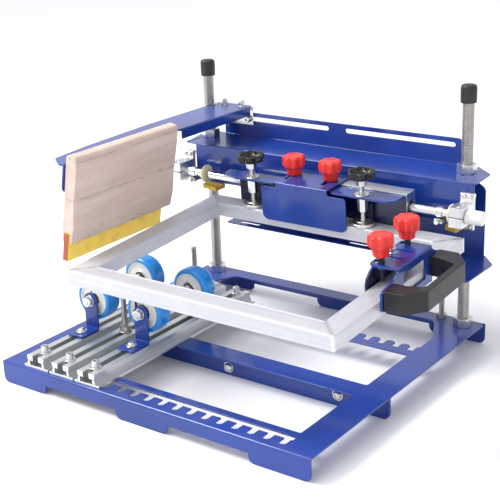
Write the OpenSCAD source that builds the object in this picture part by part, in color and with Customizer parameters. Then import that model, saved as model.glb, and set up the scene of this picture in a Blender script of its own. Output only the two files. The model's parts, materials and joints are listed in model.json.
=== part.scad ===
// Tabletop cylinder screen printing press.
// Millimetres, +Z up, -Y is the operator's side, origin under the middle of the bounding box.

/* [Base] */
// Width of the two base frames
base_w = 500; // [496:1:504]
// Height of the base top surface above the table
base_h = 31; // [30:0.5:33]
// Thickness of the folded base sheet
base_sheet = 2; // [1.5:0.5:2.5]
// Spacing of the comb notches that the rails bolt to
comb_pitch = 23; // [22.8:0.1:23.2]
// Height of the arches between the feet
foot_arch = 12.3; // [8:0.5:14]

/* [Rails and wheels] */
// Length of each T-slot rail
rail_len = 341; // [336:1:344]
// Width of the rail flange
rail_w = 43.5; // [40:0.5:45]
// Distance between neighbouring rails
rail_step = 46; // [45:0.5:47]
// Wheel diameter
wheel_d = 60; // [56:1:61]
// Wheel width
wheel_w = 25; // [22:0.5:26]
// Height of the wheel axles
axle_z = 91; // [90:1:96]

/* [Posts and head] */
// Diameter of the two threaded posts
post_d = 16; // [14:0.5:16]
// Height of the post tops without their caps
post_top = 371; // [360:1:380]
// Height of the head shelf
shelf_z = 254; // [254:1:258]
// Diameter of the guide shaft
shaft_d = 12; // [11.8:0.1:12]

/* [Screen carriage] */
// Nose-down angle of the screen about the shaft
tilt = 3.6; // [2:0.2:5]
// Length of the screen frame
screen_l = 406.5; // [404:0.5:408]
// Depth of the screen frame
screen_d = 317.6; // [315:0.2:318]
// Height of the frame tube
tube = 20; // [19:0.5:20]
// Width of the frame tube seen from above
tube_w = 30; // [28:0.5:30]
// Wall of the frame tube
tube_wall = 1.6; // [1.2:0.1:2]
// Length of the bearing block
block_l = 191; // [188:1:192]

/* [Squeegee] */
// Length of the squeegee board
board_l = 204.7; // [190:1:210]
// Height of the squeegee board
board_h = 123.8; // [115:1:126]
// Lean of the squeegee board
lean = 10.7; // [9:0.1:12]
// Length of blade below the board
blade_out = 24.5; // [20:0.5:26]

/* [View] */
// Node to draw, or all of them

/* [Hidden] */
ox = -32;
oy = -235.25;
hw = base_w / 2;
fd = 179.5;
ry0 = 179.7;
ry1 = 451.5;
rail_x = -189.5;
rails = [rail_x, rail_x + rail_step, rail_x + 2 * rail_step];
rail_z = base_h;
rail_top = 49;
post_x = [-211, 225];
post_y = 430;
sx_y = 360;
sx_z = 217;
scr_x = -142.5;
bar_y0 = -15.5 - screen_d;
clamp_x = [-58.5, 122.5];
clamp_y = -31.3;
block_x = -12;
stop_x = [-1, 59];
stop_y = -8;
side_x = 238;
side_y = [-182, -118];

blue = [0.13, 0.22, 0.58];
steel = [0.72, 0.72, 0.72];
alu = [0.86, 0.87, 0.88];
black = [0.07, 0.07, 0.08];
red = [0.87, 0.13, 0.13];

// ---------- helpers ----------
function fil(a, b, c, r, n = 4) = r <= 0 ? [b] :
  let (u = (a - b) / norm(a - b), v = (c - b) / norm(c - b), g = acos(u * v),
       t = r / tan(g / 2), w = (u + v) / norm(u + v), o = b + w * (r / sin(g / 2)),
       p = b + u * t, q = b + v * t,
       a0 = atan2(p[1] - o[1], p[0] - o[0]), a1 = atan2(q[1] - o[1], q[0] - o[0]),
       d = ((a1 - a0 + 540) % 360) - 180)
  [for (i = [0 : n]) o + r * [cos(a0 + d * i / n), sin(a0 + d * i / n)]];
function xy(p) = [p[0], p[1]];
// polygon whose vertices are [x, y, corner radius]
module rp(p, n = 4) polygon([for (i = [0 : len(p) - 1])
  each fil(xy(p[(i + len(p) - 1) % len(p)]), xy(p[i]), xy(p[(i + 1) % len(p)]), p[i][2], n)]);
module rr(x0, x1, y0, y1, r, n = 4) rp([[x0, y0, r], [x1, y0, r], [x1, y1, r], [x0, y1, r]], n);
module bx(x0, x1, y0, y1, z0, z1) translate([x0, y0, z0]) cube([x1 - x0, y1 - y0, z1 - z0]);
module hexa(af, h) cylinder(r = af / 2 / cos(30), h = h, $fn = 6);
module cyl(r, z0, z1) translate([0, 0, z0]) cylinder(r = r, h = z1 - z0, $fn = 48);
module ring(ro, ri, z0, z1) difference() { cyl(ro, z0, z1); cyl(ri, z0 - 1, z1 + 1); }
module nut(af, ri, z0, z1) translate([0, 0, z0]) difference() { hexa(af, z1 - z0); cyl(ri, -1, z1 - z0 + 1); }
module slotx(x0, x1, w) { translate([x0 + w / 2, -w / 2]) square([x1 - x0 - w, w]); for (x = [x0 + w / 2, x1 - w / 2]) translate([x, 0]) circle(r = w / 2, $fn = 32); }
// upright sheet in the XZ plane between y0 and y0+t
module wall(y0, t) translate([0, y0 + t, 0]) rotate([90, 0, 0]) linear_extrude(t) children();
// upright sheet in the YZ plane between x0 and x0+t, outline given as [y, z]
module side(x0, t) translate([x0, 0, 0]) rotate([90, 0, 90]) linear_extrude(t) children();
module flat(z0, t) translate([0, 0, z0]) linear_extrude(t) children();
module alongy() rotate([-90, 0, 0]) children();
module alongx() rotate([0, 90, 0]) children();
module P() translate([ox, oy, 0]) children();
// carriage frame: origin on the guide shaft, tipped by the screen's tilt
module T() P() translate([0, sx_y, sx_z]) rotate([tilt, 0, 0]) children();
// squeegee frame: origin at the board's upper right front corner
module Q() P() translate([-138, 62.7, 313.8]) rotate([0, lean, 0]) children();

// ---------- base ----------
module feet(x0, x1, list) {
  rr(x0, x1, foot_arch, base_h, 0);
  for (f = list) rp([[f[0], 0, 9], [f[1], 0, 9], [f[1], foot_arch + 1, 0], [f[0], foot_arch + 1, 0]]);
}
module comb_void(y0, y1, yc0, yc1) {
  translate([-206, yc0]) square([414.5, yc1 - yc0]);
  for (i = [0 : 17]) translate([rail_x + comb_pitch * i, 0]) {
    translate([-4.75, min(y0 + 4.75, yc1 - 0.1)]) square([9.5, max(yc0 - y0 - 4.7, 0.1)]);
    translate([0, y0 + 4.75]) circle(r = 4.75, $fn = 24);
  }
}
module base_front_frame() color(blue) P() difference() {
  union() {
    flat(base_h - base_sheet, base_sheet) difference() {
      rr(-hw, hw, 0, fd, 0);
      rr(-206.7, 206.7, 45.4, 161.2, 2);
      comb_void(12, 26, 26, 34);
    }
    wall(0, base_sheet) feet(-hw, hw, [[-hw, -170], [-46, 40], [162, hw]]);
    wall(fd - base_sheet, base_sheet) rp([[-hw, 0, 9], [hw, 0, 9], [hw, base_h, 0], [-hw, base_h, 0]]);
  }
  for (b = [[-175, 16], [1, 12], [175, 16]]) translate([b[0], 170, b[1]]) alongy() cyl(4.3, 0, 20);
}
module base_rear_frame() color(blue) P() difference() {
  union() {
    flat(base_h - base_sheet, base_sheet) difference() {
      rp([[-241, ry0, 0], [hw, ry0, 0], [hw, ry1, 10], [-241, ry1, 10]]);
      rr(-208, 208, 194.6, 301, 3);
      difference() {
        rp([[-196, 317, 4], [210, 317, 4], [210, 368, 8], [184, 424.6, 14], [-170, 424.6, 14], [-196, 368, 8]]);
        for (i = [0 : 17]) translate([rail_x + comb_pitch * (i + 0.5), 316])
          rp([[-6.7, -2, 0], [6.7, -2, 0], [6.7, 16, 5], [-6.7, 16, 5]]);
      }
      for (x = post_x) translate([x, post_y]) circle(r = post_d / 2 + 0.5, $fn = 48);
      translate([186.6, 440.5]) circle(r = 4.3, $fn = 32);
    }
    wall(ry0, base_sheet) rp([[-241, 0, 9], [hw, 0, 9], [hw, base_h, 0], [-241, base_h, 0]]);
    wall(ry1 - base_sheet, base_sheet) feet(-241, hw, [[-241, -153], [-32, 56], [162, hw]]);
  }
  for (b = [[-175, 16], [1, 12], [175, 16]]) translate([b[0], 170, b[1]]) alongy() cyl(4.3, 0, 20);
}
module joint_bolts() color(steel) P() for (b = [[-175, 16], [1, 12], [175, 16]]) translate([b[0], 0, b[1]]) {
  translate([0, fd - base_sheet, 0]) rotate([90, 0, 0]) {
    ring(8, 4.1, 0, 1.4);
    difference() { cyl(6.6, 1.4, 5.8); translate([0, 0, 3.2]) hexa(5, 5); }
  }
  translate([0, fd - base_sheet, 0]) alongy() { cyl(4, -2, 12); translate([0, 0, 4.3]) ring(8, 4.1, 0, 1.4); translate([0, 0, 5.7]) nut(13, 4.02, 0, 5); }
}

// ---------- rails ----------
module rail_body(x) color(alu) P() difference() {
  translate([x, 4 + rail_len, rail_z]) rotate([90, 0, 0]) linear_extrude(rail_len) difference() {
    union() { rr(-rail_w / 2, rail_w / 2, 0, 3.6, 0); rr(-15, 15, 0, rail_top - rail_z, 0); }
    rr(-11, 11, 3.7, 10.7, 0);
    rr(-5, 5, 5, 30, 0);
    for (m = [0, 1]) mirror([m, 0]) rp([[15.5, 9, 0], [13.8, 9, 0], [13.8, 12, 0], [15.5, 12, 0]]);
  }
  for (y = [23, 329]) translate([x, y, 20]) cyl(3.3, 0, 20);
}
module rail_left() rail_body(rails[0]);
module rail_middle() rail_body(rails[1]);
module rail_right() rail_body(rails[2]);
module rail_bolts() color(steel) P() for (x = rails, y = [23, 329]) translate([x, y, 0]) {
  ring(8, 3.1, rail_top, rail_top + 1.6);
  difference() { union() { cyl(5, rail_top + 1.6, rail_top + 9.6); cyl(3, 20, rail_top + 1.6); } translate([0, 0, rail_top + 6]) hexa(5, 6); }
  ring(9, 3.1, base_h - base_sheet - 1.6, base_h - base_sheet);
  nut(10, 3.02, base_h - base_sheet - 6.6, base_h - base_sheet - 1.6);
}
module base_fasteners() { joint_bolts(); rail_bolts(); }
// threaded stud standing in the middle rail, with its T-head, washer and nut
module rail_stud(y) color(steel) P() translate([rails[1], y, 0]) {
  cyl(4, 38, 125);
  difference() { bx(-10, 10, -7, 7, 35.2, 41.2); cyl(4.02, 30, 45); }
  ring(9, 4.1, rail_top + 0.3, rail_top + 1.9);
  nut(13, 4.02, rail_top + 1.9, rail_top + 8.4);
}
module rail_stud_front() rail_stud(133);
module rail_stud_rear() rail_stud(291);

// ---------- wheels ----------
// xw: rail centre, yw: wheel-side face of the bracket, s: 1 wheel behind, -1 wheel in front
module W(xw, yw, s) P() translate([xw, yw, 0]) mirror([0, s < 0 ? 1 : 0, 0]) children();
module wheel_bracket(xw, yw, s) color(blue) W(xw, yw, s) difference() {
  union() {
    translate([0, 0, rail_top + 0.3]) linear_extrude(3) rp([[-14, -38, 3], [14, -38, 3], [14, -6, 2], [11.5, 0, 0], [-11.5, 0, 0], [-14, -6, 2]]);
    wall(-3, 3) { rr(-11.5, 11.5, rail_top + 0.3, axle_z, 0); translate([0, axle_z]) circle(r = 11.5, $fn = 48); }
  }
  translate([0, -24, 40]) cyl(3.3, 0, 20);
  translate([0, 0, axle_z]) rotate([90, 0, 0]) cyl(4.1, -1, 5);
  translate([0, 0, 61]) rotate([90, 0, 0]) cyl(2.4, -1, 5);
}
module wheel_fasteners(xw, yw, s) color(steel) W(xw, yw, s) {
  // foot bolt, washer and T-nut
  difference() { bx(-10, 10, -32, -16, 35.2, 41.2); translate([0, -24, 0]) cyl(3.02, 30, 45); }
  translate([0, -24, 0]) {
    difference() { union() { cyl(3, 36.5, rail_top + 5); cyl(5.5, rail_top + 4.9, rail_top + 8.4); } translate([0, 0, rail_top + 6.2]) hexa(4, 5); }
    ring(8, 3.02, rail_top + 3.3, rail_top + 4.9);
  }
  // axle bolt, spacer, washer and nut
  translate([0, 0, axle_z]) alongy() {
    cyl(4, -12, wheel_w + 3.4);
    translate([0, 0, wheel_w + 3.3]) hexa(13, 5.3);
    ring(6.2, 4.02, 0, 2.7);
    ring(8, 4.02, -4.6, -3);
    nut(13, 4.02, -11.1, -4.6);
  }
}
module wheel_tyre(xw, yw, s) color([0.1, 0.45, 0.8]) W(xw, yw, s) translate([0, 3, axle_z]) alongy()
  rotate_extrude($fn = 72) rp([[23.5, 0, 0], [wheel_d / 2, 0, 4], [wheel_d / 2, wheel_w, 4], [23.5, wheel_w, 0]], 3);
module wheel_hub(xw, yw, s) color([0.9, 0.89, 0.86]) W(xw, yw, s) translate([0, 3, axle_z]) alongy() {
  rotate_extrude($fn = 64) polygon([[11, 0.6], [13.4, 0.6], [14, 1.6], [20.4, 1.6], [21, 0.6], [23.5, 0.6],
    [23.5, wheel_w - 0.6], [21, wheel_w - 0.6], [20.4, wheel_w - 1.6], [14, wheel_w - 1.6], [13.4, wheel_w - 0.6], [11, wheel_w - 0.6]]);
  for (z = [0.6, wheel_w - 7.6]) ring(11, 4.05, z, z + 7);
}
wf = 118;
wr = 247;
module bracket_front_left() wheel_bracket(rails[0], wf, 1);
module bracket_front_right() wheel_bracket(rails[2], wf, 1);
module bracket_rear_left() wheel_bracket(rails[0], wr, -1);
module bracket_rear_right() wheel_bracket(rails[2], wr, -1);
module fasteners_front_left() wheel_fasteners(rails[0], wf, 1);
module fasteners_front_right() wheel_fasteners(rails[2], wf, 1);
module fasteners_rear_left() wheel_fasteners(rails[0], wr, -1);
module fasteners_rear_right() wheel_fasteners(rails[2], wr, -1);
module tyre_front_left() wheel_tyre(rails[0], wf, 1);
module tyre_front_right() wheel_tyre(rails[2], wf, 1);
module tyre_rear_left() wheel_tyre(rails[0], wr, -1);
module tyre_rear_right() wheel_tyre(rails[2], wr, -1);
module hub_front_left() wheel_hub(rails[0], wf, 1);
module hub_front_right() wheel_hub(rails[2], wf, 1);
module hub_rear_left() wheel_hub(rails[0], wr, -1);
module hub_rear_right() wheel_hub(rails[2], wr, -1);

// ---------- posts ----------
module threaded_posts() color(steel) P() for (x = post_x) translate([x, post_y, 0]) cyl(post_d / 2, 13, post_top);
module post_caps() color(black) P() for (x = post_x) translate([x, post_y, 0]) difference() {
  union() { cyl(11, 350, post_top + 2); translate([0, 0, post_top + 2]) cylinder(r1 = 11, r2 = 9.8, h = 1.2, $fn = 48); }
  cyl(post_d / 2 + 0.02, 349, post_top);
}
module post_base_nuts() color(steel) P() for (x = post_x) translate([x, post_y, 0]) {
  nut(24, post_d / 2 + 0.02, base_h, base_h + 13);
  nut(24, post_d / 2 + 0.02, base_h - base_sheet - 13, base_h - base_sheet);
}
module stop_stud() color(steel) P() translate([186.6, 440.5, 0]) {
  cyl(4, 15, 110);
  nut(13, 4.02, base_h, base_h + 6.5);
  nut(13, 4.02, base_h - base_sheet - 6.5, base_h - base_sheet);
}

// ---------- head ----------
module head_upper_bracket() color(blue) P() difference() {
  union() {
    flat(shelf_z - 2, 2) rp([[-222, 384, 1], [260, 384, 6], [256, 438, 8], [228, 463, 4], [-237, 463, 4], [-235, 433, 4]]);
    wall(384, 2) rp([[-205, 197, 2], [258, 197, 2], [258, shelf_z - 0.5, 0], [-205, shelf_z - 0.5, 0]]);
    wall(461, 2) difference() {
      rp([[-206, shelf_z - 2, 0], [203, shelf_z - 2, 0], [203, 291, 7], [-206, 291, 7]]);
      translate([0, 281.25]) { slotx(-198, -14, 6.6); slotx(15, 192, 6.6); }
    }
  }
  for (x = post_x) translate([x, post_y, 240]) cyl(post_d / 2 + 0.6, 0, 20);
  for (x = [-216, 251], dx = [-4.3, 4.3], dz = [-20.5, 20.5]) if (sx_z + dz > 199) translate([x + dx, 380, sx_z + dz]) alongy() cyl(2.1, 0, 10);
}
module head_lower_bracket() color(blue) P() difference() {
  union() {
    flat(shelf_z - 4.2, 2) rp([[-233, 415.5, 2], [245, 415.5, 2], [245, 440, 3], [226, 461, 4], [-233, 461, 4]]);
    wall(415.5, 2) rp([[-137, 143, 0], [260, 143, 0], [260, 240, 9], [240, shelf_z - 2.3, 2], [-137, shelf_z - 2.3, 2]]);
    flat(143, 2) difference() {
      rp([[-137, 417.5, 0], [-137, 364, 5], [215, 364, 12], [243, 312, 10], [284, 312, 12], [284, 392, 8], [262, 417.5, 0]]);
      translate([0, 376]) { slotx(-120, -82, 7); slotx(72, 104, 7); }
    }
  }
  for (x = post_x) translate([x, post_y, 230]) cyl(post_d / 2 + 0.6, 0, 30);
}
module head_post_nuts() color(steel) P() for (x = post_x) translate([x, post_y, 0]) {
  nut(24, post_d / 2 + 0.08, shelf_z, shelf_z + 13);
  nut(24, post_d / 2 + 0.08, shelf_z - 17.2, shelf_z - 4.2);
}
module guide_shaft() color(steel) P() translate([0, sx_y, sx_z]) alongx() cyl(shaft_d / 2, -232, 282);
module shaft_support(x) color(alu) P() translate([x, sx_y, sx_z]) difference() {
  union() { bx(-9.5, 9.5, 18, 24, -25, 25); bx(-9.5, 9.5, -15, 24, -13.5, 13.5); }
  alongx() cyl(shaft_d / 2 + 0.02, -20, 20);
  bx(-20, 20, -30, 0, -1, 0.6);
  for (dx = [-4.3, 4.3], dz = [-20.5, 20.5]) translate([dx, 0, dz]) alongy() cyl(2.02, 10, 30);
  translate([0, -10, 0]) { cyl(2.02, -8, 20); cyl(3.6, 9, 20); }
}
module shaft_supports() { shaft_support(-216); shaft_support(251); }
module head_bolts() color(steel) P() for (x = [-216, 251]) translate([x, sx_y, sx_z]) {
  for (dx = [-4.3, 4.3], dz = [-20.5, 20.5]) translate([dx, 0, dz]) alongy() difference() {
    union() { cyl(2, 17.9, 24 + (dz > 0 ? 6 : 0)); cyl(3.5, 14.2, 18); }
    translate([0, 0, 12]) hexa(3, 4);
  }
  for (dx = [-4.3, 4.3]) translate([dx, 0, 20.5]) alongy() nut(7, 2.01, 26, 29);
  translate([0, -10, 0]) difference() { union() { cyl(2, -7, 9.1); cyl(3.5, 9.05, 13); } translate([0, 0, 11]) hexa(3, 4); }
}
module shaft_sleeve() color([0.9, 0.9, 0.9]) P() translate([0, sx_y, sx_z]) alongx() { difference() { union() { cyl(10.3, 260.8, 283.5); } cyl(shaft_d / 2 + 0.02, 260, 282); } }
module bumper_rings() color([0.88, 0.88, 0.63]) P() translate([0, sx_y, sx_z]) alongx()
  for (x = [-169.5, 236.6]) translate([0, 0, x]) rotate_extrude($fn = 56) rp([[6.02, 0, 0], [13.5, 0, 1.6], [13.5, 4.8, 1.6], [6.02, 4.8, 0]], 2);
module hose_clamps() color(steel) P() translate([0, sx_y, sx_z]) for (x = [-191, 222.6]) translate([x, 0, 0]) {
  alongx() ring(7.3, 6.02, -4.5, 4.5);
  difference() { union() { bx(-5.5, 5.5, -8.5, 5, -13.5, -7.2); translate([0, -13.5, -10.4]) alongy() cyl(3.4, 0, 21.5); } }
}
module shaft_pads() color([0.82, 0.66, 0.15]) P() { bx(-183, -157, 368, 392, 188.5, 196.8); bx(225, 241, 368, 392, 188.5, 196.8); }
module rubber_bumpers() { bumper_rings(); shaft_pads(); }

// ---------- screen carriage ----------
module linear_bearings() color(steel) T() alongx() for (x = [block_x + 1, block_x + block_l - 31]) ring(10.5, shaft_d / 2 + 0.05, x, x + 30);
module bearing_block() color(alu) T() difference() {
  bx(block_x, block_x + block_l, -12, 12, -14, 21.5);
  alongx() { cyl(8, -100, 200); cyl(10.55, -100, block_x + 31.5); cyl(10.55, block_x + block_l - 31.5, 200); }
  for (x = stop_x) translate([x, stop_y, 0]) cyl(3.06, 10.5, 30);
  for (x = [5, 85, 165]) translate([x, 0, 0]) rotate([90, 0, 0]) { translate([0, -11.2, 0]) cyl(2.02, 6, 20); }
}
module clamp_channel() color(blue) T() difference() {
  union() {
    bx(-94, 178, -15, -12, -46.8, 20);
    flat(17, 3) rp([[-110, -12, 5], [-107, -34, 8], [-80, -42.5, 10], [-13, -42.5, 5], [-13, -12, 0]]);
    flat(17, 3) rp([[75, -12, 0], [75, -37, 4], [81, -42.5, 4], [176, -42.5, 14], [176, -12, 2]]);
    bx(-94, 178, -38, -12, -46.8, -43.8);
  }
  bx(-13, 75, -16, -10, 9.5, 21);
  for (x = clamp_x) translate([x, clamp_y, 0]) cyl(4.1, 10, 25);
  for (x = [5, 85, 165]) translate([x, 0, -11.2]) rotate([90, 0, 0]) cyl(2.1, 10, 20);
}
module lobes(n, r, h, k) linear_extrude(h) union() { circle(r = r * k, $fn = 48); for (i = [0 : n - 1]) rotate(360 / n * i) translate([r * 0.7, 0]) circle(r = r * 0.3, $fn = 24); }
module clamp_screw(x) T() translate([x, clamp_y, 0]) {
  color(black) translate([0, 0, 41.2]) difference() { lobes(6, 20, 12.5, 0.86); translate([0, 0, 8]) cyl(10.5, 0, 6); }
  color(steel) { cyl(4, -16.2, 45); cyl(3, -21, -16); translate([0, 0, 33]) hexa(13, 8.3); }
}
module clamp_screw_left() clamp_screw(clamp_x[0]);
module clamp_screw_right() clamp_screw(clamp_x[1]);
module clamp_foot(x) color([0.66, 0.66, 0.64]) T() translate([x, clamp_y, 0]) difference() {
  union() { cyl(16, -23.3, -18.5); translate([0, 0, -18.5]) cylinder(r1 = 15.7, r2 = 8, h = 2, $fn = 48); }
  cyl(3.05, -21.3, -10);
}
module clamp_foot_left() clamp_foot(clamp_x[0]);
module clamp_foot_right() clamp_foot(clamp_x[1]);
module stop_plate() color(blue) T() difference() {
  union() {
    flat(21.8, 2.5) rr(-7.5, 77, -48.6, 17, 2);
    wall(-48.6, 2.5) rp([[-31.7, -33, 9], [106, -33, 9], [106, 16, 4], [78.5, 16, 1.4], [77, 18, 1], [77, 24.3, 0], [-7.5, 24.3, 0], [-7.5, 18, 1], [-9, 16, 1.4], [-31.7, 16, 3]]);
  }
  for (x = stop_x) translate([x, 0, 15]) { bx(-3.4, 3.4, -28, 3, 0, 15); for (y = [-28, 3]) translate([0, y, 0]) cyl(3.4, 0, 15); }
}
module red_knob(rs, z0, n, zs) {
  color(red) translate([0, 0, z0]) { cylinder(r = 10.8, h = 14, $fn = 48); translate([0, 0, 11]) lobes(n, 16.6, 17, 0.85); }
  color(black) cyl(rs, zs, z0 + 5);
}
module stop_knob_left() T() translate([stop_x[0], stop_y, 0]) red_knob(3, 24.6, 7, 11.5);
module stop_knob_right() T() translate([stop_x[1], stop_y, 0]) red_knob(3, 24.6, 7, 11.5);
module screen_frame() color(alu) T() difference() {
  bx(scr_x, scr_x + screen_l, bar_y0, -15.5, -23.6 - tube, -23.6);
  bx(scr_x + tube_w, scr_x + screen_l - tube_w, bar_y0 + tube_w, -15.5 - tube_w, -50, 0);
  difference() {
    bx(scr_x + tube_wall, scr_x + screen_l - tube_wall, bar_y0 + tube_wall, -15.5 - tube_wall, -23.6 - tube + tube_wall, -23.6 - tube_wall);
    bx(scr_x + tube_w - tube_wall, scr_x + screen_l - tube_w + tube_wall, bar_y0 + tube_w - tube_wall, -15.5 - tube_w + tube_wall, -50, 0);
  }
}
module side_bracket() color(blue) T() difference() {
  union() {
    flat(-1, 3) rp([[226, -193, 6], [267.4, -193, 0], [267.4, -110, 0], [226, -110, 6]]);
    side(264.4, 3) rp([[-233, -38, 4], [-233, -12, 4], [-203, -8, 5], [-193, -2, 4], [-192, 0.5, 0], [-111, 0.5, 0], [-110, -2, 4], [-101, -8, 5], [-90, -12, 4], [-90, -38, 4], [-109, -38, 3], [-111, -45, 0], [-192, -45, 0], [-194, -38, 3]]);
    flat(-46.8, 3) rp([[240, -193, 3], [267.4, -193, 0], [267.4, -110, 0], [240, -110, 3]]);
  }
  side(260, 10) rr(-182, -127, -36, -9, 3);
  for (y = side_y) translate([0, y, -5]) { bx(side_x - 5, side_x, -4.7, 4.7, 0, 15); for (x = [side_x - 5, side_x]) translate([x, 0, 0]) cyl(4.7, 0, 15); }
  for (y = [-163, -139]) bx(230, 258, y - 1.6, y + 1.6, -5, 10);
  translate([236, -151, -5]) cyl(3.02, 0, 15);
  for (y = [-219, -104]) translate([260, y, -23]) alongx() { cyl(3.02, 0, 20); translate([0, 0, 4.2]) cylinder(r1 = 6, r2 = 3, h = 3, $fn = 32); }
}
module side_jaw() color(blue) T() difference() {
  union() {
    flat(-4.4, 3) rr(229.7, 244.5, -191, -112, 2);
    side(229.7, 2.5) rp([[-209, -40, 4], [-209, -20, 5], [-206, -12, 5], [-200, -6, 5], [-190, -1.4, 3], [-113, -1.4, 3], [-106, -6, 4], [-101, -12, 4], [-99, -20, 4], [-99, -40, 4]]);
  }
  for (y = side_y) translate([side_x, y, -10]) cyl(4.02, 0, 20);
}
module side_knob_front() T() translate([side_x, side_y[0], 0]) { red_knob(4, 10, 7, -6); color(black) cyl(3, -21, -5.9); }
module side_knob_rear() T() translate([side_x, side_y[1], 0]) { red_knob(4, 10, 7, -6); color(black) cyl(3, -21, -5.9); }
module handle() color(black) T() difference() {
  translate([0, 0, -36]) linear_extrude(26) difference() {
    rp([[267.4, -232, 2], [294, -232, 5], [314, -209, 6], [314, -114, 6], [294, -91, 5], [267.4, -91, 2]]);
    rp([[260, -206, 0], [284, -206, 6], [305, -199, 7], [305, -124, 7], [284, -117, 6], [260, -117, 0]]);
  }
  for (y = [-219, -104]) translate([260, y, -23]) alongx() cyl(3.01, 0, 30);
}
module side_clamp_bolts() color(steel) T() {
  for (y = [-219, -104]) translate([264.6, y, -23]) alongx() { cyl(3, 2.8, 25); cylinder(r1 = 5.2, r2 = 3, h = 2.2, $fn = 32); }
  translate([236, -151, 0]) difference() { union() { cyl(3, -1, 3.7); ring(6, 2.9, 2, 3.6); cyl(5, 3.6, 9.6); } translate([0, 0, 6.5]) hexa(5, 5); }
}
module carriage_fasteners() color(steel) T() {
  for (x = clamp_x) translate([x, clamp_y, 0]) { nut(12, 4.06, -3, 17); ring(10.5, 4.3, 20, 21.4); }
  for (x = [5, 85, 165]) translate([x, -12, -11.2]) rotate([90, 0, 0]) { cyl(2, -5, 3); }
}

// ---------- squeegee ----------
module squeegee_arm() color(blue) { 
  P() difference() {
    union() {
      flat(300.5, 2.5) rp([[-148, 459, 9], [-148, 284, 3], [-160.6, 278, 3], [-160.6, 62, 4], [-172, 62, 10], [-196, 80, 12], [-205, 150, 0], [-213, 280, 0], [-214, 459, 9]]);
      bx(-150.5, -148, 286, 450, 289, 302);
      side(-214, 2.5) rr(300, 450, 289, 302, 0);
    }
    translate([-211, 430, 280]) cyl(9.6, 0, 30);
    bx(-225, -211, 420.4, 439.6, 280, 310);
    for (x = [-194, -161]) translate([x, 447, 290]) cyl(3.2, 0, 20);
  }
  Q() difference() {
    translate([-22.4, 0, 0]) side(0, 2.5) rp([[-2, -14.2, 0], [222, -14.2, 0], [222, -44, 8], [214, -55, 4], [-2, -55, 8]]);
    for (y = [30, 100, 170]) translate([-25, y, -38]) alongx() cyl(2.6, 0, 8);
  }
}
module arm_angle_bracket() color([0.8, 0.8, 0.8]) P() difference() {
  union() { flat(297.3, 3) rr(-201, -151, 440, 460.6, 2); wall(457.6, 3) rr(-201, -149, 272, 300, 0); }
  for (x = [-194, -161]) translate([x, 447, 290]) cyl(3.1, 0, 20);
  for (x = [-190, -158]) translate([x, 450, 281.25]) alongy() cyl(3.1, 0, 20);
}
module arm_bolts() color(steel) {
  P() {
    for (x = [-194, -161]) translate([x, 447, 0]) {
      translate([0, 0, 293.3]) hexa(10, 4);
      cyl(3, 297.2, 312.5);
      ring(6.2, 3.02, 303, 304.3);
      nut(10, 3.02, 304.3, 309.3);
    }
    for (x = [-190, -158]) translate([x, 0, 281.25]) alongy() {
      difference() { union() { cyl(5, 451.6, 457.6); cyl(3, 457.5, 470.5); } translate([0, 0, 449]) hexa(5, 5); }
      ring(6.2, 3.02, 463.3, 464.5);
      nut(10, 3.02, 464.5, 469.5);
    }
  }
  Q() for (y = [30, 100, 170]) translate([-22.4, y, -38]) alongx() difference() {
    union() { cyl(2.5, -0.1, 16); cyl(5, -3, 0); }
    translate([0, 0, -4]) hexa(3, 3);
  }
}
module board_outline() rp([[-18.6, 0, 5.5], [-1.1, 0, 5.5], [-0.3, -22, 8], [-1.2, -70, 8], [0.6, -98, 8], [-1.8, -board_h, 4], [-18.2, -board_h, 4], [-20.2, -98, 8], [-18.6, -70, 8], [-19.6, -22, 8]]);
module squeegee_board() color([0.83, 0.72, 0.64]) Q() difference() {
  wall(0, board_l) board_outline();
  bx(-14.5, -5.3, -1, board_l + 1, -board_h - 1, -board_h + 15);
  for (y = [30, 100, 170]) translate([-30, y, -38]) alongx() cyl(2.52, 0, 26);
}
module squeegee_blade() color([0.98, 0.82, 0.3]) Q()
  wall(-0.8, board_l - 15.5) rp([[-14.4, -board_h - blade_out, 0.4], [-5.4, -board_h - blade_out, 0.4], [-5.4, -board_h + 14.9, 0], [-14.4, -board_h + 14.9, 0]], 2);

base_front_frame();
base_rear_frame();
base_fasteners();
rail_left();
rail_middle();
rail_right();
rail_stud_front();
rail_stud_rear();
bracket_front_left();
bracket_front_right();
bracket_rear_left();
bracket_rear_right();
fasteners_front_left();
fasteners_front_right();
fasteners_rear_left();
fasteners_rear_right();
tyre_front_left();
tyre_front_right();
tyre_rear_left();
tyre_rear_right();
hub_front_left();
hub_front_right();
hub_rear_left();
hub_rear_right();
threaded_posts();
post_caps();
post_base_nuts();
stop_stud();
head_upper_bracket();
head_lower_bracket();
head_post_nuts();
guide_shaft();
shaft_supports();
head_bolts();
shaft_sleeve();
rubber_bumpers();
hose_clamps();
linear_bearings();
bearing_block();
clamp_channel();
clamp_screw_left();
clamp_screw_right();
clamp_foot_left();
clamp_foot_right();
stop_plate();
stop_knob_left();
stop_knob_right();
screen_frame();
side_bracket();
side_jaw();
side_knob_front();
side_knob_rear();
handle();
side_clamp_bolts();
carriage_fasteners();
squeegee_arm();
arm_angle_bracket();
arm_bolts();
squeegee_board();
squeegee_blade();
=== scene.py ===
import bpy, bmesh, json, math, random
from mathutils import Vector, Matrix, noise


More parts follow.
